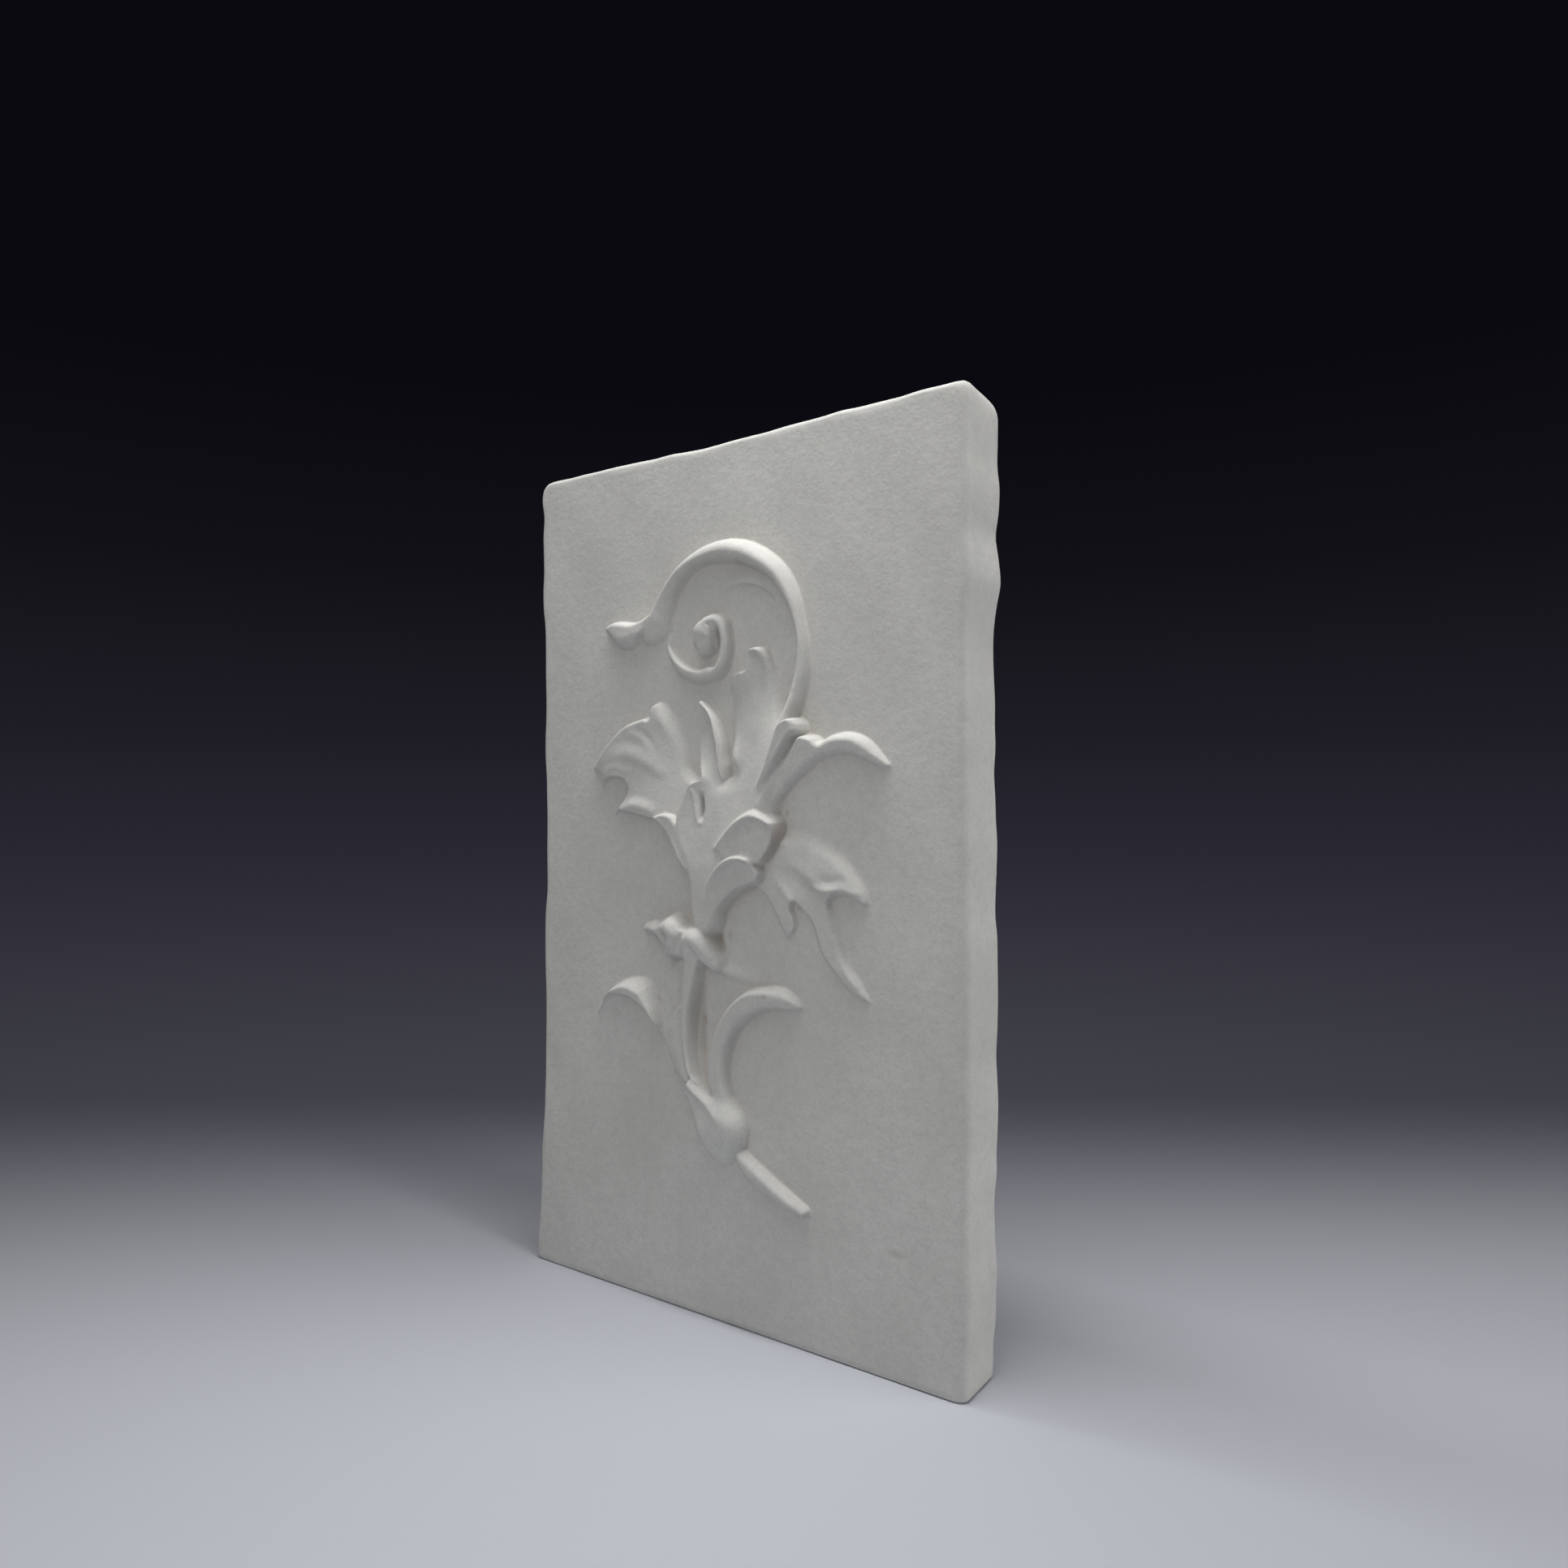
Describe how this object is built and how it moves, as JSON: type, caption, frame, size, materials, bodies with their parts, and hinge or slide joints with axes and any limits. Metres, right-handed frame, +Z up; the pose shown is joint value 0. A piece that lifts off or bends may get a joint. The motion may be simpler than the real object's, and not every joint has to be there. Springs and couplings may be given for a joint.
{
  "type": "plaster bas-relief panel",
  "caption": "Upright rectangular plaster slab with a scrolling acanthus branch in relief: volute, curling leaves, knot, stem, pod and rod.",
  "frame": {"origin": "centre of the flat underside, midway between the plain front face and the back", "axes": "+Z up, +X to the right of someone facing the relief, -Y out of the relief towards that person, +Y out of the flat back"},
  "size_m": [0.3012, 0.0487, 0.5005],
  "materials": {
    "plaster": "matt, unglazed cast plaster"
  },
  "bodies": {
    "root": {"relief_panel": "plaster"}
  },
  "joints": []
}
